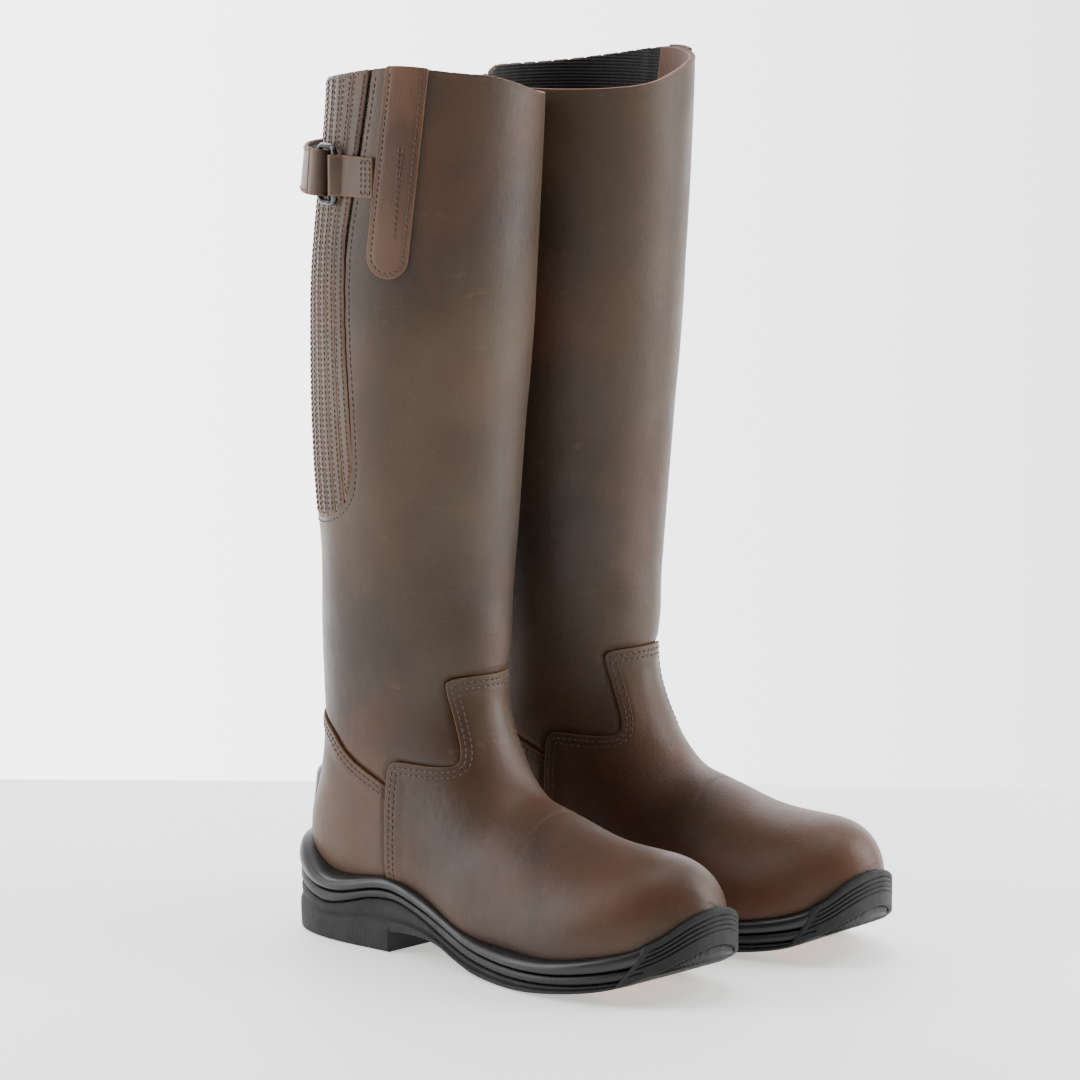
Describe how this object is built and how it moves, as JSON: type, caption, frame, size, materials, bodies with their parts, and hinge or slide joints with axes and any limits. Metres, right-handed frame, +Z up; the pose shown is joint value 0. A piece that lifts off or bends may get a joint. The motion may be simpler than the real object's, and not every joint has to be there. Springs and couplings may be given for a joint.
{
  "type": "riding boots",
  "caption": "Pair of tall brown pull-on leather boots with a moulded black rubber sole, an elastic back panel with leather strips, and a ring-and-strap adjuster.",
  "frame": {"origin": "middle of the pair's bounding box, on the ground under the soles", "axes": "+Z up along the shafts; toes point toward -Y; the right boot stands at -X and the left boot at +X"},
  "size_m": [0.2306, 0.289, 0.468],
  "materials": {
    "oiled_leather": "oiled, satin",
    "tab_leather": "oiled, rubbed",
    "suede_lining": "suede",
    "elastic": "ribbed weave",
    "hook_and_loop": "brushed pile",
    "sole_rubber": "moulded, satin",
    "tan_rubber": "matte",
    "footbed_cloth": "matte",
    "board": "fibre board",
    "stiffener": "pressed fibre",
    "shank_steel": "plain",
    "ring_metal": "gunmetal, satin"
  },
  "bodies": {
    "right_boot": {"right_outsole": "sole_rubber", "right_tread_insert": "tan_rubber", "right_midsole": "sole_rubber", "right_welt": "sole_rubber", "right_shank": "shank_steel", "right_insole_board": "board", "right_footbed": "footbed_cloth", "right_toe_puff": "stiffener", "right_heel_stiffener": "stiffener", "right_vamp": "oiled_leather", "right_counter": "oiled_leather", "right_shaft": "oiled_leather", "right_boot_lining": "suede_lining", "right_gusset_elastic": "elastic", "right_gusset_strips": "oiled_leather", "right_side_tab": "tab_leather", "right_ring_chape": "oiled_leather", "right_strap": "oiled_leather", "right_loop_pad": "hook_and_loop", "right_spur_rest": "sole_rubber"},
    "right_ring": {"right_d_ring": "ring_metal"},
    "right_strap_tail": {"right_strap_tail": "oiled_leather", "right_hook_pad": "hook_and_loop"},
    "left_boot": {"left_outsole": "sole_rubber", "left_tread_insert": "tan_rubber", "left_midsole": "sole_rubber", "left_welt": "sole_rubber", "left_shank": "shank_steel", "left_insole_board": "board", "left_footbed": "footbed_cloth", "left_toe_puff": "stiffener", "left_heel_stiffener": "stiffener", "left_vamp": "oiled_leather", "left_counter": "oiled_leather", "left_shaft": "oiled_leather", "left_boot_lining": "suede_lining", "left_gusset_elastic": "elastic", "left_gusset_strips": "oiled_leather", "left_side_tab": "tab_leather", "left_ring_chape": "oiled_leather", "left_strap": "oiled_leather", "left_loop_pad": "hook_and_loop", "left_spur_rest": "sole_rubber"},
    "left_ring": {"left_d_ring": "ring_metal"},
    "left_strap_tail": {"left_strap_tail": "oiled_leather", "left_hook_pad": "hook_and_loop"}
  },
  "joints": [
    {"name": "left_boot_lift", "type": "slide", "parent": "right_boot", "child": "left_boot", "axis": [0, 0, 1], "range_m": [0, 0.3]},
    {"name": "right_ring_swing", "type": "hinge", "parent": "right_boot", "child": "right_ring", "pos_m": [-0.11206, 0.07317, 0.411], "axis": [0, 0, 1], "range_deg": [-1.5, 1.5]},
    {"name": "right_tail_peel", "type": "hinge", "parent": "right_boot", "child": "right_strap_tail", "pos_m": [-0.11066, 0.09415, 0.411], "axis": [0, 0, 1], "range_deg": [0, 115]},
    {"name": "left_ring_swing", "type": "hinge", "parent": "left_boot", "child": "left_ring", "pos_m": [0.10899, 0.07339, 0.411], "axis": [0, 0, -1], "range_deg": [-1.5, 1.5]},
    {"name": "left_tail_peel", "type": "hinge", "parent": "left_boot", "child": "left_strap_tail", "pos_m": [0.10594, 0.0942, 0.411], "axis": [0, 0, -1], "range_deg": [0, 115]}
  ]
}
